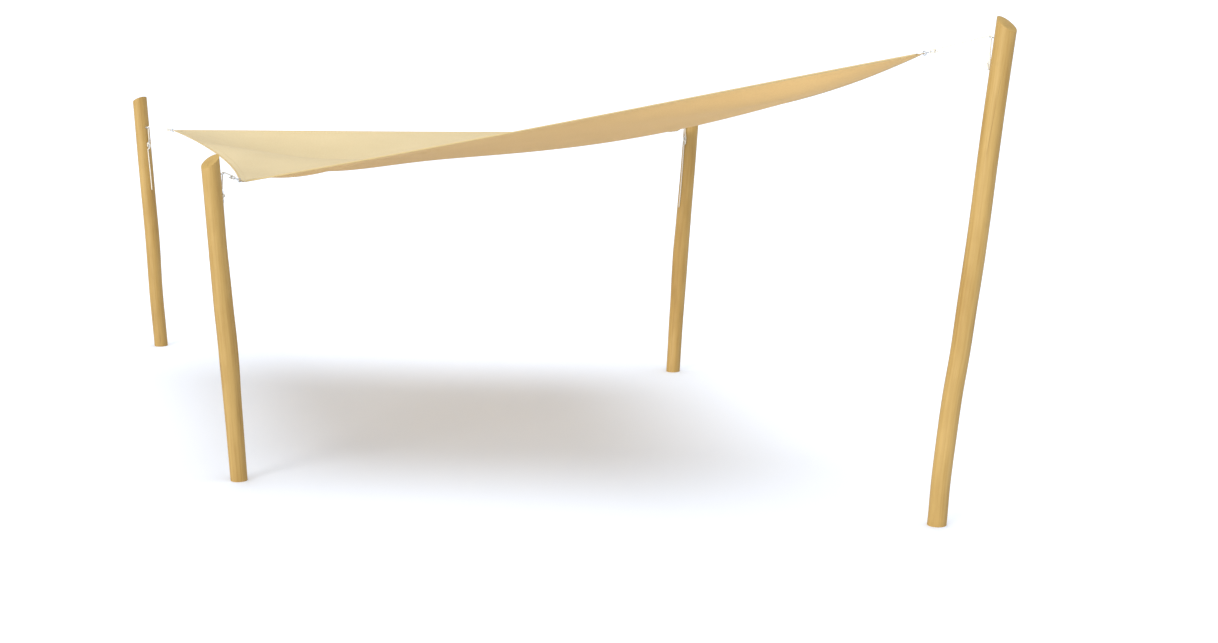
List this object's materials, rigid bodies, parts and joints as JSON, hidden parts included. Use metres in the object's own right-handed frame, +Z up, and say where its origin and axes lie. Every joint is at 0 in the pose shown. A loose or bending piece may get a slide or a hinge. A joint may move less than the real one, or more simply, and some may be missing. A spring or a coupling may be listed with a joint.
{
  "type": "shade sail",
  "caption": "Square fabric sun sail with inward-curved edges, roped at its corners to leaning round timber posts of unequal height.",
  "frame": {"origin": "middle of the far low post's foot, on its flat underside at ground level", "axes": "+X runs along the long diagonal from the far low post to the tall post, +Y towards the far side post, +Z up"},
  "size_m": [11.3474, 6.4783, 4.0383],
  "materials": {
    "timber": "debarked and sanded robinia log, oiled, pale honey colour",
    "cloth": "matte knitted sun-screen cloth, sand colour",
    "webbing": "matte woven webbing and folded hem, darker sand",
    "steel": "satin stainless steel",
    "rope": "braided polyester rope, off-white"
  },
  "bodies": {
    "root": {"farLowPost": "timber", "farLowEyeBolt": "steel", "farLowCleat": "steel", "farLowTab": "webbing", "farLowRing": "steel", "farLowHook": "steel", "farLowHalyard": "rope", "farLowTail": "rope", "nearLowPost": "timber", "nearLowEyeBolt": "steel", "nearLowCleat": "steel", "nearLowTab": "webbing", "nearLowRing": "steel", "nearLowHook": "steel", "nearLowHalyard": "rope", "nearLowTail": "rope", "sideLowPost": "timber", "sideLowEyeBolt": "steel", "sideLowCleat": "steel", "sideLowTab": "webbing", "sideLowRing": "steel", "sideLowHook": "steel", "sideLowHalyard": "rope", "sideLowTail": "rope", "tallPost": "timber", "tallEyeBolt": "steel", "tallCleat": "steel", "tallTab": "webbing", "tallRing": "steel", "tallHook": "steel", "tallHalyard": "rope", "tallTail": "rope", "sail": "cloth", "farNearHem": "webbing", "sideTallHem": "webbing", "farSideHem": "webbing", "nearTallHem": "webbing"}
  },
  "joints": []
}
